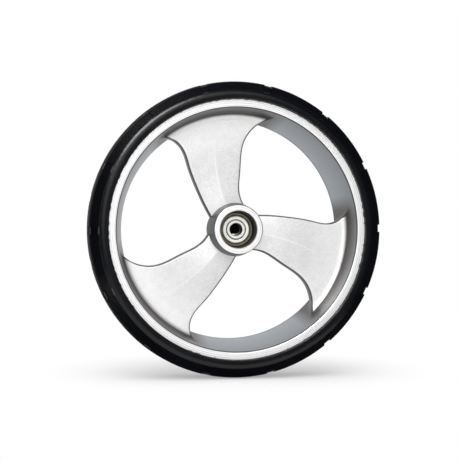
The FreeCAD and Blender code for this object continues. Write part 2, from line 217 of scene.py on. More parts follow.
def spoke(name, degrees):
    """One swept blade: a soft ridge down its front, rounded edges, and hollows where it meets the barrel.

    No operator gives this surface, so its rows are set point by point and joined by faces.
    """
    leading, trailing, ridge = (smooth_line(line) for line in (LEADING_EDGE, TRAILING_EDGE, RIDGE_LINE))
    start = SPOKE_START_R[0]
    shares = list(np.linspace(*BLADE_ROWS)) + list(np.linspace(*ROOT_ROWS))
    bend = np.linspace(0, FILLET_R * math.sin(FILLET_STEEPEST), BEND_ROWS)
    shares += [(FRONT_FILLET_FOOT_R + d - start) / (SPOKE_REACH - start) for d in bend] + LAST_ROWS
    turn = Matrix.Rotation(math.radians(-degrees), 3, "Y")
    mesh = bmesh.new()
    rings = []
    for share in shares:
        row = spoke_row(leading, trailing, ridge, share)
        front, back = [], []
        for place, drop in row:
            r = place.length
            steep = RIDGE_TILT * max(0.0, 1 - place.x / RIDGE_END) ** 2
            off_ridge = abs(place.y - np.interp(place.x, ridge[:, 0], ridge[:, 1]))
            front_y = SPOKE_FRONT_Y + steep * off_ridge + drop - fillet_rise(r - FRONT_FILLET_FOOT_R)
            rise = min(fillet_rise((r - BACK_FILLET_FOOT_R) * BACK_FILLET_LEAN), BACK_FILLET_TOP)
            back_y = SPOKE_BACK_Y - drop + rise
            for side, y in ((front, front_y), (back, back_y)):
                side.append(mesh.verts.new(turn @ Vector((place.x, y, place.y)) * MM))
        rings.append((front, back))
    for (front_a, back_a), (front_b, back_b) in zip(rings, rings[1:]):
        loop_a, loop_b = front_a + back_a[::-1], front_b + back_b[::-1]
        for k in range(len(loop_a)):
            mesh.faces.new((loop_a[k - 1], loop_a[k], loop_b[k], loop_b[k - 1]))
    for front, back in (rings[0], rings[-1]):
        for k in range(1, len(front)):
            mesh.faces.new((front[k - 1], front[k], back[k], back[k - 1]))
    bmesh.ops.recalc_face_normals(mesh, faces=mesh.faces)
    data = bpy.data.meshes.new(name)
    mesh.to_mesh(data)
    mesh.free()
    piece = bpy.data.objects.new(name, data)
    bpy.context.scene.collection.objects.link(piece)
    return piece


def combine(piece, other, operation):
    """Joins another solid to a piece, or cuts it out, and deletes the other."""
    bpy.ops.object.select_all(action="DESELECT")
    bpy.context.view_layer.objects.active = piece
    join = piece.modifiers.new("join", "BOOLEAN")
    join.operation, join.solver, join.object = operation, "EXACT", other
    bpy.ops.object.modifier_apply(modifier="join")
    bpy.data.objects.remove(other)


def finish_shading(piece, degrees):
    """Smooth shading with edges sharper than the angle kept crisp, and flats that stay flat."""
    bpy.ops.object.select_all(action="DESELECT")
    piece.select_set(True)
    bpy.context.view_layer.objects.active = piece
    bpy.ops.object.shade_smooth_by_angle(angle=math.radians(degrees))
    even = piece.modifiers.new("even", "WEIGHTED_NORMAL")
    even.keep_sharp = True
    bpy.ops.object.modifier_apply(modifier="even")


def linear(code):
    """Linear colour from an sRGB hex code."""
    channels = [int(code[i:i + 2], 16) / 255 for i in (1, 3, 5)]
    return tuple(c / 12.92 if c <= 0.04045 else ((c + 0.055) / 1.055) ** 2.4 for c in channels) + (1.0,)


def add_node(tree, kind, settings=None, values=None, links=None, stops=None):
    """Adds a node with its properties, input values, links from other nodes' outputs and colour stops."""
    node = tree.nodes.new(kind)
    for key, value in (settings or {}).items():
        setattr(node, key, value)
    for key, value in (values or {}).items():
        node.inputs[key].default_value = value
    for key, (source, output) in (links or {}).items():
        tree.links.new(source.outputs[output], node.inputs[key])
    for i, (position, code) in enumerate(stops or ()):
        ramp = node.color_ramp.elements
        stop = ramp[i] if i < len(ramp) else ramp.new(position)
        stop.position, stop.color = position, linear(code)
    return node


def new_material(name):
    """Material with an empty node tree."""
    material = bpy.data.materials.new(name)
    material.use_nodes = True
    material.node_tree.nodes.clear()
    return material, material.node_tree


def from_axle(tree):
    """Place on the piece, and its distance from the axle."""
    place = add_node(tree, "ShaderNodeTexCoord")
    flat = add_node(tree, "ShaderNodeVectorMath", {"operation": "MULTIPLY"}, {1: (1, 0, 1)},
                    {0: (place, "Object")})
    return place, add_node(tree, "ShaderNodeVectorMath", {"operation": "LENGTH"}, links={0: (flat, "Vector")})


rim = turned("casting", softened([
    (FLANGE_R, LIP_Y, EDGE_ROUND),
    (FLANGE_R, CHANNEL_FRONT_Y, CORNER_ROUND),
    (seat_r(CHANNEL_FRONT_Y), CHANNEL_FRONT_Y, CORNER_ROUND),
    (seat_r(CHANNEL_REAR_Y), CHANNEL_REAR_Y, CORNER_ROUND),
    (FLANGE_R, CHANNEL_REAR_Y, CORNER_ROUND),
    (FLANGE_R, REAR_FLANGE_Y, EDGE_ROUND),
    (seat_r(REAR_FLANGE_Y), REAR_FLANGE_Y, EDGE_ROUND),
    (seat_r(BACK_Y), BACK_Y, EDGE_ROUND),
    (barrel_r(BACK_Y), BACK_Y, EDGE_ROUND),
    (BARREL_FRONT_R, LIP_Y, LIP_ROUND),
]), RIM_STEPS)
hub = turned("hub", softened([
    (0, HUB_FRONT_Y, 0),
    (HUB_FACE_R, HUB_FRONT_Y, HUB_ROUND),
    (HUB_BASE_R, HUB_BASE_Y, 0),
    (HUB_FACE_R, HUB_REAR_Y, EDGE_ROUND),
    (0, HUB_REAR_Y, 0),
]), HUB_STEPS)
flare = MOUTH_CHAMFER + CUT_PAST
cavity = turned("cavity", softened([
    (0, HUB_FRONT_Y - CUT_PAST, 0),
    (MOUTH_R + flare, HUB_FRONT_Y - CUT_PAST, 0),
    (MOUTH_R, HUB_FRONT_Y + MOUTH_CHAMFER, 0),
    (BEARING_R, -BEARING_FACE_Y, 0),
    (BEARING_R, -SHOULDER_Y, 0),
    (SHOULDER_R, -SHOULDER_Y, 0),
    (SHOULDER_R, SHOULDER_Y, 0),
    (BEARING_R, SHOULDER_Y, 0),
    (BEARING_R, BEARING_FACE_Y, 0),
    (MOUTH_R, HUB_REAR_Y - MOUTH_CHAMFER, 0),
    (MOUTH_R + flare, HUB_REAR_Y + CUT_PAST, 0),
    (0, HUB_REAR_Y + CUT_PAST, 0),
]), HUB_STEPS)
casting = rim
for angle in SPOKE_ANGLES:
    combine(casting, spoke("spoke", angle), "UNION")
combine(casting, hub, "UNION")
combine(casting, cavity, "DIFFERENCE")
bpy.ops.object.mode_set(mode="EDIT")
bpy.ops.mesh.select_all(action="SELECT")
bpy.ops.mesh.remove_doubles(threshold=SLIVER_GAP * MM)
bpy.ops.object.mode_set(mode="OBJECT")
casting.name = casting.data.name = "casting"

# Silver lacquer over a casting: the broad faces are bright with a fine metal grain, while walls, edges and
# hollows, which turn away from the front, are painted a duller grey as painted shade
lacquer, tree = new_material("silver_lacquer_with_painted_light")
place, radius = from_axle(tree)
spot = add_node(tree, "ShaderNodeSeparateXYZ", links={"Vector": (place, "Object")})
facing = add_node(tree, "ShaderNodeSeparateXYZ", links={"Vector": (place, "Normal")})
facing = add_node(tree, "ShaderNodeMath", {"operation": "ABSOLUTE"}, links={0: (facing, "Y")})
# Metal flake of 0.1 mm is too fine to show, so the grain is drawn at 0.7 mm
grain = add_node(tree, "ShaderNodeTexNoise", values={"Scale": 1 / (0.7 * MM), "Detail": 3.0, "Roughness": 0.6},
                 links={"Vector": (place, "Object")})
# Uneven tone in clouds of 4 mm, and a painted sheen that makes the faces lighter towards the hub and the rim
cloud = add_node(tree, "ShaderNodeTexNoise", values={"Scale": 1 / (4.0 * MM), "Detail": 3.0},
                 links={"Vector": (place, "Object")})
mottle_and_sheen = add_node(tree, "ShaderNodeMix", values={"Factor": 0.22},
                  links={"A": (grain, "Fac"), "B": (cloud, "Fac")})
# Painted sheen: lighter the further a point lies from the middle of the spokes
painted_sheen = add_node(tree, "ShaderNodeMath", {"operation": "SUBTRACT"}, {1: SHEEN_MIDDLE_R * MM},
                 {0: (radius, "Value")})
painted_sheen = add_node(tree, "ShaderNodeMath", {"operation": "ABSOLUTE"}, links={0: (painted_sheen, "Value")})
painted_sheen = add_node(tree, "ShaderNodeMapRange",
                 values={"From Min": SHEEN_EVEN * MM, "From Max": SHEEN_FULL * MM,
                         "To Min": -0.05, "To Max": 0.17},
                 links={"Value": (painted_sheen, "Value")})
mottle_and_sheen = add_node(tree, "ShaderNodeMath", {"operation": "ADD"},
                  links={0: (mottle_and_sheen, "Result"), 1: (painted_sheen, "Result")})
shade = add_node(tree, "ShaderNodeValToRGB", links={"Fac": (mottle_and_sheen, "Value")},
                 stops=((0.34, "#D6D6D6"), (0.70, "#F6F6F6")))
# Painted shade where the casting turns from the front: dark on the flanks of hub and spokes, cool grey on the
# barrel and paler towards its back, with a warmer dark painted in the hollows by the spokes
barrel = add_node(tree, "ShaderNodeMapRange",
                  values={"From Min": BARREL_START_R * MM, "From Max": BARREL_FULL_R * MM},
                  links={"Value": (radius, "Value")})
depth = add_node(tree, "ShaderNodeMapRange", values={"From Min": LIP_Y * MM, "From Max": BACK_Y * MM},
                 links={"Value": (spot, "Y")})
wall = add_node(tree, "ShaderNodeValToRGB", links={"Fac": (depth, "Result")},
                stops=((0.0, "#888C91"), (0.92, "#ABB0B6"), (0.99, "#5C5D60")))
near_hub = add_node(tree, "ShaderNodeMapRange",
                    values={"From Min": (HUB_BASE_R + HUB_SHADE_WIDTH) * MM, "From Max": HUB_BASE_R * MM},
                    links={"Value": (radius, "Value")})
flank = add_node(tree, "ShaderNodeMix", {"data_type": "RGBA"},
                 {"A": linear("#47474A"), "B": linear("#222224")}, {"Factor": (near_hub, "Result")})
colour_with_painted_light = add_node(tree, "ShaderNodeMix", {"data_type": "RGBA"},
                links={"Factor": (barrel, "Result"), "A": (flank, "Result"), "B": (wall, "Color")})
# Painted shade in the hollows by the spokes, on the barrel, strongest deeper in it
turn = add_node(tree, "ShaderNodeMath", {"operation": "ARCTAN2"}, links={0: (spot, "Z"), 1: (spot, "X")})
turn = add_node(tree, "ShaderNodeMath", {"operation": "SUBTRACT"},
                {1: math.radians(SPOKE_ANGLES[0] - HOLLOW_LEAN)}, {0: (turn, "Value")})
half_pitch = math.pi / len(SPOKE_ANGLES)
turn = add_node(tree, "ShaderNodeMath", {"operation": "WRAP"}, {1: half_pitch, 2: -half_pitch},
                {0: (turn, "Value")})
turn = add_node(tree, "ShaderNodeMath", {"operation": "ABSOLUTE"}, links={0: (turn, "Value")})
by_spoke = add_node(tree, "ShaderNodeMapRange",
                    values={"From Min": math.radians(HOLLOW_END), "From Max": math.radians(HOLLOW_FULL)},
                    links={"Value": (turn, "Value")})
before = add_node(tree, "ShaderNodeMapRange",
                  values={"From Min": LIP_Y * MM, "From Max": (SPOKE_FRONT_Y - FILLET_R) * MM,
                          "To Min": 0.25, "To Max": 0.9},
                  links={"Value": (spot, "Y")})
painted_shade_mask = add_node(tree, "ShaderNodeMath", {"operation": "MULTIPLY"},
                links={0: (by_spoke, "Result"), 1: (before, "Result")})
painted_shade_mask = add_node(tree, "ShaderNodeMath", {"operation": "MULTIPLY"},
                links={0: (painted_shade_mask, "Value"), 1: (barrel, "Result")})
# Painted shade: steep walls take the same warm dark
edge = add_node(tree, "ShaderNodeMapRange", values={"From Min": 0.22, "From Max": 0.45},
                links={"Value": (facing, "Value")})
painted_shade_mask = add_node(tree, "ShaderNodeMath", {"operation": "MAXIMUM"},
                links={0: (painted_shade_mask, "Value"), 1: (edge, "Result")})
colour_with_painted_light = add_node(tree, "ShaderNodeMix", {"data_type": "RGBA"}, {"B": linear("#575350")},
                {"Factor": (painted_shade_mask, "Value"), "A": (colour_with_painted_light, "Result")})
# Painted shade by facing: where a surface turns from the front, its colour goes from the lacquer to the dark
# colours above, at a smaller turn on spokes and hub than on the rim
shade_onset = add_node(tree, "ShaderNodeMapRange",
                values={"From Min": 0.05, "From Max": 0.14, "To Min": 0.80, "To Max": 0.70},
                links={"Value": (depth, "Result")})
shade_onset = add_node(tree, "ShaderNodeMapRange", values={"To Min": 0.90},
                links={"Value": (barrel, "Result"), "To Max": (shade_onset, "Result")})
unshaded_share = add_node(tree, "ShaderNodeMapRange", values={"From Max": 0.982},
                links={"Value": (facing, "Value"), "From Min": (shade_onset, "Result")})
colour_with_painted_light = add_node(tree, "ShaderNodeMix", {"data_type": "RGBA"},
                links={"Factor": (unshaded_share, "Result"), "A": (colour_with_painted_light, "Result"), "B": (shade, "Color")})
# Painted highlight: white along the crest of each spoke's ridge
crest = add_node(tree, "ShaderNodeAttribute", {"attribute_name": "crest"})
colour_with_painted_light = add_node(tree, "ShaderNodeMix", {"data_type": "RGBA"}, {"B": linear("#FFFFFF")},
                {"Factor": (crest, "Fac"), "A": (colour_with_painted_light, "Result")})
satin = add_node(tree, "ShaderNodeMapRange", values={"To Min": 0.36, "To Max": 0.46},
                 links={"Value": (grain, "Fac")})
pebble = add_node(tree, "ShaderNodeBump", values={"Strength": 0.15, "Distance": 0.03 * MM},
                  links={"Height": (grain, "Fac")})
shader = add_node(tree, "ShaderNodeBsdfPrincipled", values={"Metallic": 0.5},
                  links={"Base Color": (colour_with_painted_light, "Result"), "Roughness": (satin, "Result"),
                         "Normal": (pebble, "Normal")})
add_node(tree, "ShaderNodeOutputMaterial", links={"Surface": (shader, "BSDF")})

# Turned aluminium: bright, with faint rings left by the tool
turned_face, tree = new_material("turned_aluminium")
_, radius = from_axle(tree)
# Tool marks of 0.1 mm are drawn 0.35 mm apart so that they show
marks = add_node(tree, "ShaderNodeTexNoise", {"noise_dimensions": "1D"},
                 {"Scale": 1 / (0.35 * MM), "Detail": 2.0}, {"W": (radius, "Value")})
shade = add_node(tree, "ShaderNodeValToRGB", links={"Fac": (marks, "Fac")},
                 stops=((0.25, "#E3E3E3"), (0.75, "#F5F5F5")))
satin = add_node(tree, "ShaderNodeMapRange", values={"To Min": 0.22, "To Max": 0.34},
                 links={"Value": (marks, "Fac")})
groove = add_node(tree, "ShaderNodeBump", values={"Strength": 0.1, "Distance": 0.02 * MM},
                  links={"Height": (marks, "Fac")})
shader = add_node(tree, "ShaderNodeBsdfPrincipled", values={"Metallic": 0.35},
                  links={"Base Color": (shade, "Color"), "Roughness": (satin, "Result"),
                         "Normal": (groove, "Normal")})
add_node(tree, "ShaderNodeOutputMaterial", links={"Surface": (shader, "BSDF")})

# Bored aluminium with rings left by the boring tool, painted near black as painted shade deep in the hub's mouth
bored, tree = new_material("bored_aluminium_in_painted_shade")
place = add_node(tree, "ShaderNodeTexCoord")
along = add_node(tree, "ShaderNodeSeparateXYZ", links={"Vector": (place, "Object")})
# Feed marks of 0.1 mm are drawn 0.4 mm apart so that they show
marks = add_node(tree, "ShaderNodeTexNoise", {"noise_dimensions": "1D"},
                 {"Scale": 1 / (0.4 * MM), "Detail": 2.0}, {"W": (along, "Y")})
shade = add_node(tree, "ShaderNodeValToRGB", links={"Fac": (marks, "Fac")},
                 stops=((0.30, "#191817"), (0.75, "#3C3A37")))
satin = add_node(tree, "ShaderNodeMapRange", values={"To Min": 0.30, "To Max": 0.45},
                 links={"Value": (marks, "Fac")})
shader = add_node(tree, "ShaderNodeBsdfPrincipled", values={"Metallic": 0.9},
                  links={"Base Color": (shade, "Color"), "Roughness": (satin, "Result")})
add_node(tree, "ShaderNodeOutputMaterial", links={"Surface": (shader, "BSDF")})

finishes = [lacquer, turned_face, bored]
for finish in finishes:
    casting.data.materials.append(finish)
for face in casting.data.polygons:
    r = math.hypot(face.center.x, face.center.z) / MM
    y = face.center.y / MM
    on_lip = y < LIP_Y + TURNED_DEPTH and r > BARREL_FRONT_R
    on_hub = y < HUB_FRONT_Y + TURNED_DEPTH and r < HUB_BASE_R
    finish = lacquer
    # Walls inside the hub's mouth take the bored finish, painted near black as painted shade
    if r < MOUTH_R + BORED_EDGE and abs(face.normal.y) < BORED_FACING:
        finish = bored
    elif (on_lip or on_hub) and face.normal.y < -TURNED_FACING:
        finish = turned_face
    face.material_index = finishes.index(finish)

# Painted highlight: the crest of each spoke's ridge is painted white, most at the hub, where the facets are steep
ridge = smooth_line(RIDGE_LINE)
painted_crest_highlight = casting.data.attributes.new("crest", "FLOAT", "POINT")
for i, vertex in enumerate(casting.data.vertices):
    if not SPOKE_FRONT_Y - CREST_BAND < vertex.co.y / MM < SPOKE_FRONT_Y + CREST_BAND:
        continue
    for angle in SPOKE_ANGLES:
        local = Matrix.Rotation(math.radians(angle), 3, "Y") @ vertex.co / MM
        if local.x < HUB_BASE_R:
            continue
        off_ridge = abs(local.z - np.interp(local.x, ridge[:, 0], ridge[:, 1]))
        fade = math.sqrt(max(0.0, 1 - local.x / RIDGE_END))
        painted_crest_highlight.data[i].value = max(0.0, 1 - off_ridge / RIDGE_SOFT) * fade
finish_shading(casting, degrees=32)
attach(casting, "wheel")
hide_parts("wheel_casting")


# Tyre: one solid ring of black rubber, moulded with a round bead at each side, a crease above it and short
# notches across both shoulders. It is stretched over the rim and sits in its channel.
TYRE_R, TYRE_MID_Y = 95.0, -5.0
HALF_WIDTH, HALF_TREAD, HALF_CHANNEL, HALF_FLANGES = 16.5, 8.5, 11.0, 14.0
BEAD_RISE, BEAD_CREST, BEAD_FALL, BEAD_BOW, BEAD_POINTS = 5.6, 2.5, 0.95, 0.24, 10
BROW_DROP, BROW_ROUND, BROW_FLATTEN, BROW_POINTS = 0.15, 0.6, 0.6, 6
CREASE, TREAD_CROWN, TREAD_ROUND, TREAD_FLATTEN, TREAD_POINTS = 0.7, 0.25, 1.3, 0.5, 8
NOTCH_COUNT, NOTCH_START, NOTCH_DEPTH, NOTCH_REACH, NOTCH_DRAFT = 14, 0.5, 1.0, 5.0, 0.25
FOOT_LAP, FOOT_PITCH, FOOT_CONTRAST, FOOT_HEIGHT, FOOT_LIFT = 0.8, 2.6, 3.0, 2.3, 0.05
FOOT_BAND, PROFILE_MARGIN, CREASE_MARGIN = 0.3, 0.01, 0.05
SEGMENTS_PER_NOTCH, NOTCH_SEGMENTS = 26, 3


def bowed(a, middle, b, count):
    """Points on the arc from a through the middle to b, with b left out."""
    a, middle, b = Vector(a), Vector(middle), Vector(b)
    p, q = middle - a, b - a
    scale = 2 * (p.x * q.y - p.y * q.x)
    centre = a + Vector((
        q.y * p.length_squared - p.y * q.length_squared, p.x * q.length_squared - q.x * p.length_squared
    )) / scale
    start, end = a - centre, b - centre
    turn = start.angle_signed(end)
    if (middle - centre).dot(start + end) < 0:
        turn -= math.copysign(math.tau, turn)
    points = []
    for k in range(count):
        t = -turn * k / count
        points.append(centre + Vector((
            start.x * math.cos(t) - start.y * math.sin(t), start.x * math.sin(t) + start.y * math.cos(t)
        )))
    return points


def tyre_side(side):
    """Outer profile of the tyre from the channel to the crown; side is -1 at the front."""
    flange_y = TYRE_MID_Y + side * HALF_FLANGES
    channel_y = TYRE_MID_Y + side * HALF_CHANNEL
    bead_y = TYRE_MID_Y + side * HALF_WIDTH
    bead_edge = (FLANGE_R + BEAD_RISE, bead_y - side * BEAD_FALL)
    crease = (FLANGE_R + BEAD_RISE + CREASE, flange_y - side * CREASE)
    tread = (TYRE_R - TREAD_CROWN, TYRE_MID_Y + side * HALF_TREAD)
    points = [Vector((seat_r(channel_y), channel_y)), Vector((FLANGE_R, channel_y))]
    foot, crest = Vector((FLANGE_R, flange_y)), Vector((FLANGE_R + BEAD_CREST, bead_y))
    brow = Vector((FLANGE_R, bead_y - side * BROW_DROP))
    wall, shelf = (brow + (end - brow).normalized() * BROW_ROUND for end in (foot, crest))
    brow_top = brow.lerp((wall + shelf) / 2, BROW_FLATTEN)
    points += [foot, foot.lerp(wall, 0.5)] + bowed(wall, brow_top, shelf, BROW_POINTS) + [shelf]
    bead_top = ((crest.x + bead_edge[0]) / 2, bead_y - side * BEAD_FALL * BEAD_BOW)
    points += bowed(crest, bead_top, bead_edge, BEAD_POINTS) + [Vector(bead_edge), Vector(crease)]
    corner, crown = Vector(tread), Vector((TYRE_R, TYRE_MID_Y))
    before = corner + (Vector(crease) - corner).normalized() * TREAD_ROUND
    after = corner + (crown - corner).normalized() * TREAD_ROUND
    points += bowed(before, corner.lerp((before + after) / 2, TREAD_FLATTEN), after, TREAD_POINTS)
    points += [after, corner.lerp(crown, NOTCH_REACH / HALF_TREAD)]
    return points


profile = tyre_side(-1) + [Vector((TYRE_R, TYRE_MID_Y))] + tyre_side(1)[::-1]
tyre = turned("tyre_ring", profile, NOTCH_COUNT * SEGMENTS_PER_NOTCH)
pitch = math.tau / NOTCH_COUNT
segment = pitch / SEGMENTS_PER_NOTCH
notch_turn = math.radians(NOTCH_START) - segment / 2
tyre.data.transform(Matrix.Rotation(-notch_turn, 4, "Y"))
crease_r = FLANGE_R + BEAD_RISE + CREASE
bpy.ops.object.mode_set(mode="EDIT")
bpy.ops.mesh.select_mode(type="FACE")
bpy.ops.mesh.select_all(action="DESELECT")
bpy.ops.object.mode_set(mode="OBJECT")
for face in tyre.data.polygons:
    r = math.hypot(face.center.x, face.center.z) / MM
    out_y = face.center.y / MM - TYRE_MID_Y
    turn = math.atan2(face.center.z, face.center.x) - math.radians(NOTCH_START)
    if out_y > 0:
        turn -= pitch / 2
    off = abs((turn + pitch / 2) % pitch - pitch / 2)
    on_shoulder = r > crease_r + CREASE_MARGIN and HALF_TREAD - NOTCH_REACH < abs(out_y) < HALF_FLANGES
    face.select = on_shoulder and off < segment * NOTCH_SEGMENTS / 2
bpy.ops.object.mode_set(mode="EDIT")
bpy.ops.mesh.inset(thickness=NOTCH_DRAFT * MM, depth=-NOTCH_DEPTH * MM)
bpy.ops.object.mode_set(mode="OBJECT")

# The foot of each bead laps unevenly over the edge of the rim, by up to 0.8 mm every few millimetres
for vertex in tyre.data.vertices:
    r = math.hypot(vertex.co.x, vertex.co.z) / MM
    out_y = vertex.co.y / MM - TYRE_MID_Y
    height = abs(out_y) - HALF_FLANGES
    if r < FLANGE_R + FOOT_BAND and -PROFILE_MARGIN < height < FOOT_HEIGHT:
        place = Vector((vertex.co.x, math.copysign(HALF_CHANNEL * MM, out_y), vertex.co.z))
        uneven = noise.noise(place / (FOOT_PITCH * MM))
        lap = FOOT_LAP * min(1.0, max(0.0, FOOT_CONTRAST * uneven)) * (1 - height / FOOT_HEIGHT)
        vertex.co.x *= 1 - lap / r
        vertex.co.z *= 1 - lap / r
        vertex.co.y += math.copysign(FOOT_LIFT, out_y) * MM

# Moulded rubber: near black with a cool tint, glossy on the shoulder, a little softer on the bead and dull on the
# tread, with a fine mould grain
SHOULDER_START, TREAD_START, TREAD_FULL = crease_r + 0.5, TYRE_R - 1.5, TYRE_R - 0.5
rubber, tree = new_material("moulded_black_rubber")
place, radius = from_axle(tree)
# Mould grain of 0.2 mm is drawn at 0.8 mm so that it shows
grain = add_node(tree, "ShaderNodeTexNoise", values={"Scale": 1 / (0.8 * MM), "Detail": 4.0},
                 links={"Vector": (place, "Object")})
cloud = add_node(tree, "ShaderNodeTexNoise", values={"Scale": 1 / (25 * MM), "Detail": 2.0},
                 links={"Vector": (place, "Object")})
shade = add_node(tree, "ShaderNodeValToRGB", links={"Fac": (cloud, "Fac")},
                 stops=((0.35, "#05060A"), (0.70, "#0A0B10")))
bead = add_node(tree, "ShaderNodeMapRange",
                values={"From Min": crease_r * MM, "From Max": SHOULDER_START * MM,
                        "To Min": 0.20, "To Max": 0.16},
                links={"Value": (radius, "Value")})
tread = add_node(tree, "ShaderNodeMapRange",
                 values={"From Min": TREAD_START * MM, "From Max": TREAD_FULL * MM, "To Max": 0.7},
                 links={"Value": (radius, "Value"), "To Min": (bead, "Result")})
satin = add_node(tree, "ShaderNodeMath", {"operation": "MULTIPLY_ADD"}, {1: 0.1},
                 {0: (grain, "Fac"), 2: (tread, "Result")})
# The skin of the moulding waves a little, over 5 mm, which breaks up its sheen
wave = add_node(tree, "ShaderNodeTexNoise", values={"Scale": 1 / (5.0 * MM), "Detail": 3.0, "Roughness": 0.6},
                links={"Vector": (place, "Object")})
waved = add_node(tree, "ShaderNodeBump", values={"Strength": 0.5, "Distance": 0.25 * MM},
                 links={"Height": (wave, "Fac")})
pebble = add_node(tree, "ShaderNodeBump", values={"Strength": 0.1, "Distance": 0.04 * MM},
                  links={"Height": (grain, "Fac"), "Normal": (waved, "Normal")})
shader = add_node(tree, "ShaderNodeBsdfPrincipled", values={"IOR": 1.5, "Specular IOR Level": 0.3},
                  links={"Base Color": (shade, "Color"), "Roughness": (satin, "Value"),
                         "Normal": (pebble, "Normal")})
add_node(tree, "ShaderNodeOutputMaterial", links={"Surface": (shader, "BSDF")})
tyre.data.materials.append(rubber)
finish_shading(tyre, degrees=28)
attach(tyre, "wheel")
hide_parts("tyre")


# Bearings: two shielded deep-groove ball bearings of ground steel, pressed into the ends of the hub, each with
# an outer ring, an inner ring and two pressed shields crimped into the outer ring. Balls run between the rings
# in a riveted ribbon cage.
BEARING_HALF, BEARING_MIDDLES = 3.5, (("front", -5.5), ("rear", 5.5))
BORE_R, INNER_LAND_R, OUTER_LAND_R, RING_ROUND = 4.0, 6.05, 9.0, 0.3
PITCH_R, RACE_R, RACE_POINTS = 7.5, 2.014, 12
SHIELD_SEAT_R, SHIELD_FLAT_R, SHIELD_GAP = 9.7, 8.35, 0.25
SHIELD_LEDGE, SHIELD_THICK, SHIELD_STEP, SHIELD_ROUND = 2.6, 0.3, 0.45, 0.12
BEARING_STEPS = 120


def race(land_r):
    """Groove for the balls across a ring's land, from its front to its rear."""
    half = math.sqrt(RACE_R ** 2 - (land_r - PITCH_R) ** 2)
    bottom = PITCH_R + math.copysign(RACE_R, land_r - PITCH_R)
    groove = bowed((land_r, -half), (bottom, 0), (land_r, half), RACE_POINTS)
    return [(p.x, p.y, 0) for p in groove] + [(land_r, half, 0)]


def bearing_piece(name, corners, middle):
    """Ring or shield turned at its place on the axle."""
    piece = turned(name, [(p.x, p.y + middle) for p in softened(corners)], BEARING_STEPS)
    finish_shading(piece, degrees=30)
    return piece


# Ground bearing steel: bright on the inner ring, with fine rings from grinding. An olive tone, partly old oil and
# partly painted shade, covers the bore, the edge beside the shield and the outer ring; near-black painted shade
# lies in the bore and on the outer ring's outer edge, in the shadow of the hub's mouth.
ground_steel, tree = new_material("ground_bearing_steel")
_, radius = from_axle(tree)
# Grinding marks of 0.02 mm are drawn 0.25 mm apart so that they show
marks = add_node(tree, "ShaderNodeTexNoise", {"noise_dimensions": "1D"},
                 {"Scale": 1 / (0.25 * MM), "Detail": 2.0}, {"W": (radius, "Value")})
shade = add_node(tree, "ShaderNodeValToRGB", links={"Fac": (marks, "Fac")},
                 stops=((0.25, "#E2E0D9"), (0.75, "#F8F7F3")))
# Olive of old oil and painted shade on the bore and from the inner ring's outer edge outwards
bore = add_node(tree, "ShaderNodeMapRange",
                values={"From Min": (BORE_R + RING_ROUND) * MM, "From Max": (BORE_R + RING_ROUND / 2) * MM},
                links={"Value": (radius, "Value")})
rim_edge = add_node(tree, "ShaderNodeMapRange",
                    values={"From Min": (INNER_LAND_R - RING_ROUND) * MM,
                            "From Max": (INNER_LAND_R - RING_ROUND / 2) * MM},
                    links={"Value": (radius, "Value")})
oil_and_shade = add_node(tree, "ShaderNodeMath", {"operation": "MAXIMUM"},
               links={0: (bore, "Result"), 1: (rim_edge, "Result")})
shade = add_node(tree, "ShaderNodeMix", {"data_type": "RGBA"}, {"B": linear("#6E6856")},
                 {"Factor": (oil_and_shade, "Value"), "A": (shade, "Color")})
# Painted shadow: near black on the bore and the outer ring's outer edge
seat = add_node(tree, "ShaderNodeMapRange",
                values={"From Min": (BEARING_R - 2 * RING_ROUND) * MM,
                        "From Max": (BEARING_R - RING_ROUND) * MM},
                links={"Value": (radius, "Value")})
painted_deep_shade = add_node(tree, "ShaderNodeMath", {"operation": "MAXIMUM"},
                links={0: (bore, "Result"), 1: (seat, "Result")})
shade = add_node(tree, "ShaderNodeMix", {"data_type": "RGBA"}, {"B": linear("#16150F")},
                 {"Factor": (painted_deep_shade, "Value"), "A": (shade, "Result")})
satin = add_node(tree, "ShaderNodeMapRange", values={"To Min": 0.22, "To Max": 0.34},
                 links={"Value": (marks, "Fac")})
shader = add_node(tree, "ShaderNodeBsdfPrincipled", values={"Metallic": 0.2},
                  links={"Base Color": (shade, "Result"), "Roughness": (satin, "Result")})
add_node(tree, "ShaderNodeOutputMaterial", links={"Surface": (shader, "BSDF")})

# Zinc-plated pressed steel: pale and satin on the flat, with an olive dark, partly old oil and partly painted
# shade, on its inner lip by the gap and in the crimped groove round it
GROOVE_DARK_START, GROOVE_DARK_FULL = SHIELD_FLAT_R - 0.1, SHIELD_FLAT_R + 0.25
LIP_DARK_START, LIP_DARK_FULL = INNER_LAND_R + 2.6 * SHIELD_GAP, INNER_LAND_R + 1.6 * SHIELD_GAP
shield_steel, tree = new_material("zinc_plated_pressed_steel")
place, radius = from_axle(tree)
# Olive dark of old oil and painted shade in the crimped groove and on the inner lip
oil_and_shade = add_node(tree, "ShaderNodeMapRange",
               values={"From Min": GROOVE_DARK_START * MM, "From Max": GROOVE_DARK_FULL * MM},
               links={"Value": (radius, "Value")})
lip = add_node(tree, "ShaderNodeMapRange",
               values={"From Min": LIP_DARK_START * MM, "From Max": LIP_DARK_FULL * MM},
               links={"Value": (radius, "Value")})
oil_and_shade = add_node(tree, "ShaderNodeMath", {"operation": "MAXIMUM"}, links={0: (oil_and_shade, "Result"), 1: (lip, "Result")})
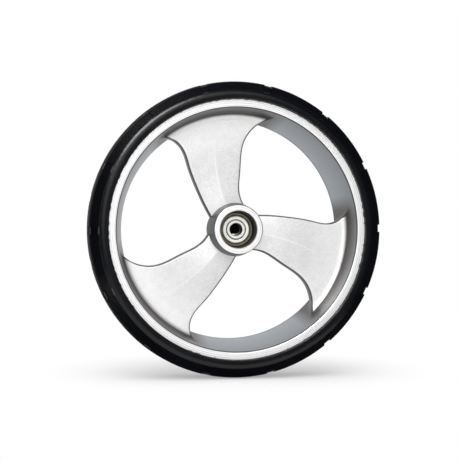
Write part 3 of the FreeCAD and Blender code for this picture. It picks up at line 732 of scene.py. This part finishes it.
# The plating clouds over 3 mm
cloud = add_node(tree, "ShaderNodeTexNoise", values={"Scale": 1 / (3.0 * MM), "Detail": 4.0},
                 links={"Vector": (place, "Object")})
pale = add_node(tree, "ShaderNodeValToRGB", links={"Fac": (cloud, "Fac")},
                stops=((0.35, "#F2F1ED"), (0.65, "#FDFDFB")))
oily_and_shaded = add_node(tree, "ShaderNodeValToRGB", links={"Fac": (cloud, "Fac")},
                stops=((0.35, "#35301E"), (0.70, "#6A624C")))
shade = add_node(tree, "ShaderNodeMix", {"data_type": "RGBA"},
                 links={"Factor": (oil_and_shade, "Value"), "A": (pale, "Color"), "B": (oily_and_shaded, "Color")})
satin = add_node(tree, "ShaderNodeMapRange", values={"To Min": 0.35, "To Max": 0.48},
                 links={"Value": (cloud, "Fac")})
shader = add_node(tree, "ShaderNodeBsdfPrincipled", values={"Metallic": 0.1},
                  links={"Base Color": (shade, "Result"), "Roughness": (satin, "Result")})
add_node(tree, "ShaderNodeOutputMaterial", links={"Surface": (shader, "BSDF")})

for end, middle in BEARING_MIDDLES:
    outer_ring = bearing_piece(end + "_bearing_outer", [
        (OUTER_LAND_R, -SHIELD_LEDGE, 0),
        (SHIELD_SEAT_R, -SHIELD_LEDGE, 0),
        (SHIELD_SEAT_R, -BEARING_HALF, SHIELD_ROUND),
        (BEARING_R, -BEARING_HALF, RING_ROUND),
        (BEARING_R, BEARING_HALF, RING_ROUND),
        (SHIELD_SEAT_R, BEARING_HALF, SHIELD_ROUND),
        (SHIELD_SEAT_R, SHIELD_LEDGE, 0),
        (OUTER_LAND_R, SHIELD_LEDGE, 0),
    ] + race(OUTER_LAND_R)[::-1], middle)
    inner_ring = bearing_piece(end + "_bearing_inner", [
        (INNER_LAND_R, BEARING_HALF, RING_ROUND),
        (BORE_R, BEARING_HALF, RING_ROUND),
        (BORE_R, -BEARING_HALF, RING_ROUND),
        (INNER_LAND_R, -BEARING_HALF, RING_ROUND),
    ] + race(INNER_LAND_R), middle)
    for ring, body, node in ((outer_ring, "wheel", "_outer_ring"), (inner_ring, "axle_core", "_inner_ring")):
        ring.data.materials.append(ground_steel)
        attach(ring, body)
        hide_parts(end + node)
    outward = math.copysign(1, middle)
    for face, side in (("outward", outward), ("inward", -outward)):
        raised = SHIELD_LEDGE + SHIELD_STEP
        profile = [
            (SHIELD_SEAT_R, SHIELD_LEDGE, 0),
            (SHIELD_SEAT_R, SHIELD_LEDGE + SHIELD_THICK, SHIELD_ROUND),
            (SHIELD_FLAT_R + SHIELD_STEP, SHIELD_LEDGE + SHIELD_THICK, SHIELD_ROUND),
            (SHIELD_FLAT_R, raised + SHIELD_THICK, SHIELD_ROUND),
            (INNER_LAND_R + SHIELD_GAP, raised + SHIELD_THICK, SHIELD_ROUND),
            (INNER_LAND_R + SHIELD_GAP, raised, 0),
            (SHIELD_FLAT_R - SHIELD_THICK / 2, raised, 0),
            (SHIELD_FLAT_R + SHIELD_STEP - SHIELD_THICK / 2, SHIELD_LEDGE, 0),
        ]
        shield = bearing_piece(end + "_shield_" + face, [(r, y * side, soft) for r, y, soft in profile], middle)
        shield.data.materials.append(shield_steel)
        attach(shield, "wheel")
        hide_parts("%s_%s_shield" % (end, face))


# Balls, cages, rivets and spacer: hidden between the shields and inside the hub. The balls are polished chrome
# steel, the cages and their rivets pressed from steel strip, and the spacer is a sleeve turned from steel tube.

# Polished steel: mirror bright, with a thin smear of oil in patches of 2 mm
ball_steel, tree = new_material("polished_chrome_steel")
place = add_node(tree, "ShaderNodeTexCoord")
smear = add_node(tree, "ShaderNodeTexNoise", values={"Scale": 1 / (2.0 * MM), "Detail": 2.0},
                 links={"Vector": (place, "Object")})
satin = add_node(tree, "ShaderNodeMapRange", values={"To Min": 0.06, "To Max": 0.16},
                 links={"Value": (smear, "Fac")})
shader = add_node(tree, "ShaderNodeBsdfPrincipled", values={"Metallic": 1.0, "Base Color": linear("#D5D5D3")},
                  links={"Roughness": (satin, "Result")})
add_node(tree, "ShaderNodeOutputMaterial", links={"Surface": (shader, "BSDF")})

# Pressed strip and turned tube: bright grey steel, satin, with fine marks of 0.05 mm that are drawn at 0.3 mm so
# that they show
plain_steel, tree = new_material("bright_drawn_steel")
place = add_node(tree, "ShaderNodeTexCoord")
marks = add_node(tree, "ShaderNodeTexNoise", values={"Scale": 1 / (0.3 * MM), "Detail": 3.0},
                 links={"Vector": (place, "Object")})
shade = add_node(tree, "ShaderNodeValToRGB", links={"Fac": (marks, "Fac")},
                 stops=((0.30, "#8F8E8B"), (0.70, "#B9B8B4")))
satin = add_node(tree, "ShaderNodeMapRange", values={"To Min": 0.28, "To Max": 0.42},
                 links={"Value": (marks, "Fac")})
shader = add_node(tree, "ShaderNodeBsdfPrincipled", values={"Metallic": 1.0},
                  links={"Base Color": (shade, "Color"), "Roughness": (satin, "Result")})
add_node(tree, "ShaderNodeOutputMaterial", links={"Surface": (shader, "BSDF")})
for name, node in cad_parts.items():
    if "_ball_" in name or "cage" in name or name == "spacer_tube":
        node.data.materials.clear()
        node.data.materials.append(ball_steel if "_ball_" in name else plain_steel)


# Studio, in metres: a white floor and background, a soft lamp from the upper left, a small one in front and one
# above. Cards that show only in reflections stand round the wheel: dark ones draw the edges of the bright metal,
# and two pale ones give the tyre's bead its sheen. A black peg in the bore holds the wheel upright.
FLOOR_Z, FLOOR_SIZE = -TYRE_R * MM, 8.0
SHADOW_MIDDLE, SHADOW_CORE_R, SHADOW_EDGE_R = (0.01, 0.03, 0), 0.04, 0.14


def seen_rays(tree):
    """Share of a ray that the background shows itself to: the camera's own, mirrored and refracted rays."""
    rays = add_node(tree, "ShaderNodeLightPath")
    seen = add_node(tree, "ShaderNodeMath", {"operation": "MAXIMUM"},
                    links={0: (rays, "Is Camera Ray"), 1: (rays, "Is Glossy Ray")})
    return add_node(tree, "ShaderNodeMath", {"operation": "MAXIMUM"},
                    links={0: (seen, "Value"), 1: (rays, "Is Transmission Ray")})


bpy.ops.object.select_all(action="DESELECT")
bpy.ops.mesh.primitive_plane_add(size=FLOOR_SIZE, location=(0, 0, FLOOR_Z))
floor = bpy.context.object
floor.name = "floor"
paper, tree = new_material("white_paper_floor")
seen = seen_rays(tree)
place = add_node(tree, "ShaderNodeTexCoord")
away = add_node(tree, "ShaderNodeVectorMath", {"operation": "DISTANCE"}, {1: SHADOW_MIDDLE},
                {0: (place, "Object")})
# The shadow shows under the wheel and fades into white
fade = add_node(tree, "ShaderNodeMapRange", {"interpolation_type": "SMOOTHSTEP"},
                {"From Min": SHADOW_CORE_R, "From Max": SHADOW_EDGE_R, "To Min": 0.35, "To Max": 1.0},
                {"Value": (away, "Value")})
share = add_node(tree, "ShaderNodeMath", {"operation": "MULTIPLY"},
                 links={0: (seen, "Value"), 1: (fade, "Result")})
lit = add_node(tree, "ShaderNodeBsdfDiffuse", values={"Color": linear("#FAFAFA")})
white = add_node(tree, "ShaderNodeEmission", values={"Color": (1, 1, 1, 1), "Strength": 1.0})
mix = add_node(tree, "ShaderNodeMixShader",
               links={"Fac": (share, "Value"), 1: (lit, "BSDF"), 2: (white, "Emission")})
add_node(tree, "ShaderNodeOutputMaterial", links={"Surface": (mix, "Shader")})
floor.data.materials.append(paper)
floor.visible_glossy = False

world = bpy.data.worlds.new("studio")
bpy.context.scene.world = world
world.use_nodes = True
tree = world.node_tree
tree.nodes.clear()
seen = seen_rays(tree)
room = add_node(tree, "ShaderNodeBackground", values={"Color": (1, 1, 1, 1), "Strength": 0.30})
white = add_node(tree, "ShaderNodeBackground", values={"Color": (1, 1, 1, 1), "Strength": 1.0})
mix = add_node(tree, "ShaderNodeMixShader",
               links={"Fac": (seen, "Value"), 1: (room, "Background"), 2: (white, "Background")})
add_node(tree, "ShaderNodeOutputWorld", links={"Surface": (mix, "Shader")})


def card(name, place, size, turn, brightness):
    """Flat card that shows only in reflections."""
    bpy.ops.object.select_all(action="DESELECT")
    bpy.ops.mesh.primitive_plane_add(size=size, location=place, rotation=turn)
    sheet = bpy.context.object
    sheet.name = name
    paint, tree = new_material(name + "_paint")
    glow = add_node(tree, "ShaderNodeEmission", values={"Color": (1, 1, 1, 1), "Strength": brightness})
    add_node(tree, "ShaderNodeOutputMaterial", links={"Surface": (glow, "Emission")})
    sheet.data.materials.append(paint)
    sheet.visible_camera = sheet.visible_diffuse = sheet.visible_shadow = sheet.visible_transmission = False


UPRIGHT = math.radians(90)
card("left_card", (-0.6, 0, 0.2), 1.0, (0, UPRIGHT, 0), 0.03)
card("right_card", (0.6, 0, 0.2), 1.0, (0, UPRIGHT, 0), 0.03)
card("top_card", (0, 0, 0.7), 1.2, (0, 0, 0), 0.05)
card("low_card", (0, -0.25, -0.3), 1.2, (0, 0, 0), 0.03)
card("front_card", (0, -2.4, 0.2), 6.0, (UPRIGHT, 0, 0), 0.08)
card("floor_card", (-0.1, -0.62, -0.28), 1.0, (0, 0, 0), 1.1)
card("white_card", (-0.38, -0.48, 0.64), 0.50, (math.radians(38), math.radians(-28), 0), 17.0)

PEG_R, PEG_Z, PEG_FRONT_Y, PEG_REAR_Y, PEG_ROUND, PEG_STEPS = 3.4, 0.5, -4.0, 7.0, 0.5, 48
peg = turned("peg", softened([
    (0, PEG_FRONT_Y, 0), (PEG_R, PEG_FRONT_Y, PEG_ROUND), (PEG_R, PEG_REAR_Y, PEG_ROUND), (0, PEG_REAR_Y, 0)
]), PEG_STEPS)
peg.data.transform(Matrix.Translation((0, 0, PEG_Z * MM)))
finish_shading(peg, degrees=30)
black, tree = new_material("black_satin_peg")
shader = add_node(tree, "ShaderNodeBsdfPrincipled",
                  values={"Base Color": linear("#020202"), "Roughness": 0.8, "Specular IOR Level": 0.1})
add_node(tree, "ShaderNodeOutputMaterial", links={"Surface": (shader, "BSDF")})
peg.data.materials.append(black)


def soft_lamp(name, place, aim, size, power):
    """Oval lamp of a width and height, turned to its aim."""
    lamp = bpy.data.lights.new(name, "AREA")
    lamp.shape, lamp.energy = "ELLIPSE", power
    lamp.size, lamp.size_y = size
    holder = bpy.data.objects.new(name, lamp)
    holder.location = place
    holder.rotation_mode = "QUATERNION"
    holder.rotation_quaternion = (Vector(aim) - Vector(place)).to_track_quat("-Z", "Y")
    bpy.context.scene.collection.objects.link(holder)
    return holder


soft_lamp("softbox", (-0.36, -1.5, 0.80), (0, 0, 0), (2.0, 2.0), 13.6)
fill = soft_lamp("fill", (0.1, -1.3, -0.05), (0, 0, 0), (0.4, 0.4), 8.0)
top = soft_lamp("top", (0, -0.22, 0.9), (0, 0, -0.095), (1.0, 1.2), 6.0)
fill.visible_glossy = top.visible_glossy = False

# The camera stands level with the axle, a little to the left, and looks past the wheel's middle
VIEW_TURN, VIEW_DISTANCE = math.radians(11), 800.0
VIEW_FOCAL_PX, IMAGE_PX, CENTRE_PX = 1260.0, 460.0, (239.0, 229.5)
camera = bpy.data.objects.new("camera", bpy.data.cameras.new("camera"))
bpy.context.scene.collection.objects.link(camera)
bpy.context.scene.camera = camera
camera.data.lens = camera.data.sensor_width * VIEW_FOCAL_PX / IMAGE_PX
ahead = Vector((math.sin(VIEW_TURN), math.cos(VIEW_TURN), 0))
right = Vector((math.cos(VIEW_TURN), -math.sin(VIEW_TURN), 0))
lip_centre = Vector((0, LIP_Y, 0)) * MM
camera.location = lip_centre - ahead * VIEW_DISTANCE * MM
beside = (CENTRE_PX[0] - IMAGE_PX / 2) / VIEW_FOCAL_PX
above = (IMAGE_PX / 2 - CENTRE_PX[1]) / VIEW_FOCAL_PX
camera.rotation_mode = "QUATERNION"
camera.rotation_quaternion = (ahead - right * beside - Vector((0, 0, above))).to_track_quat("-Z", "Y")
camera.data.clip_start, camera.data.clip_end = 0.01, 50.0
bpy.context.scene.view_settings.view_transform = "Standard"
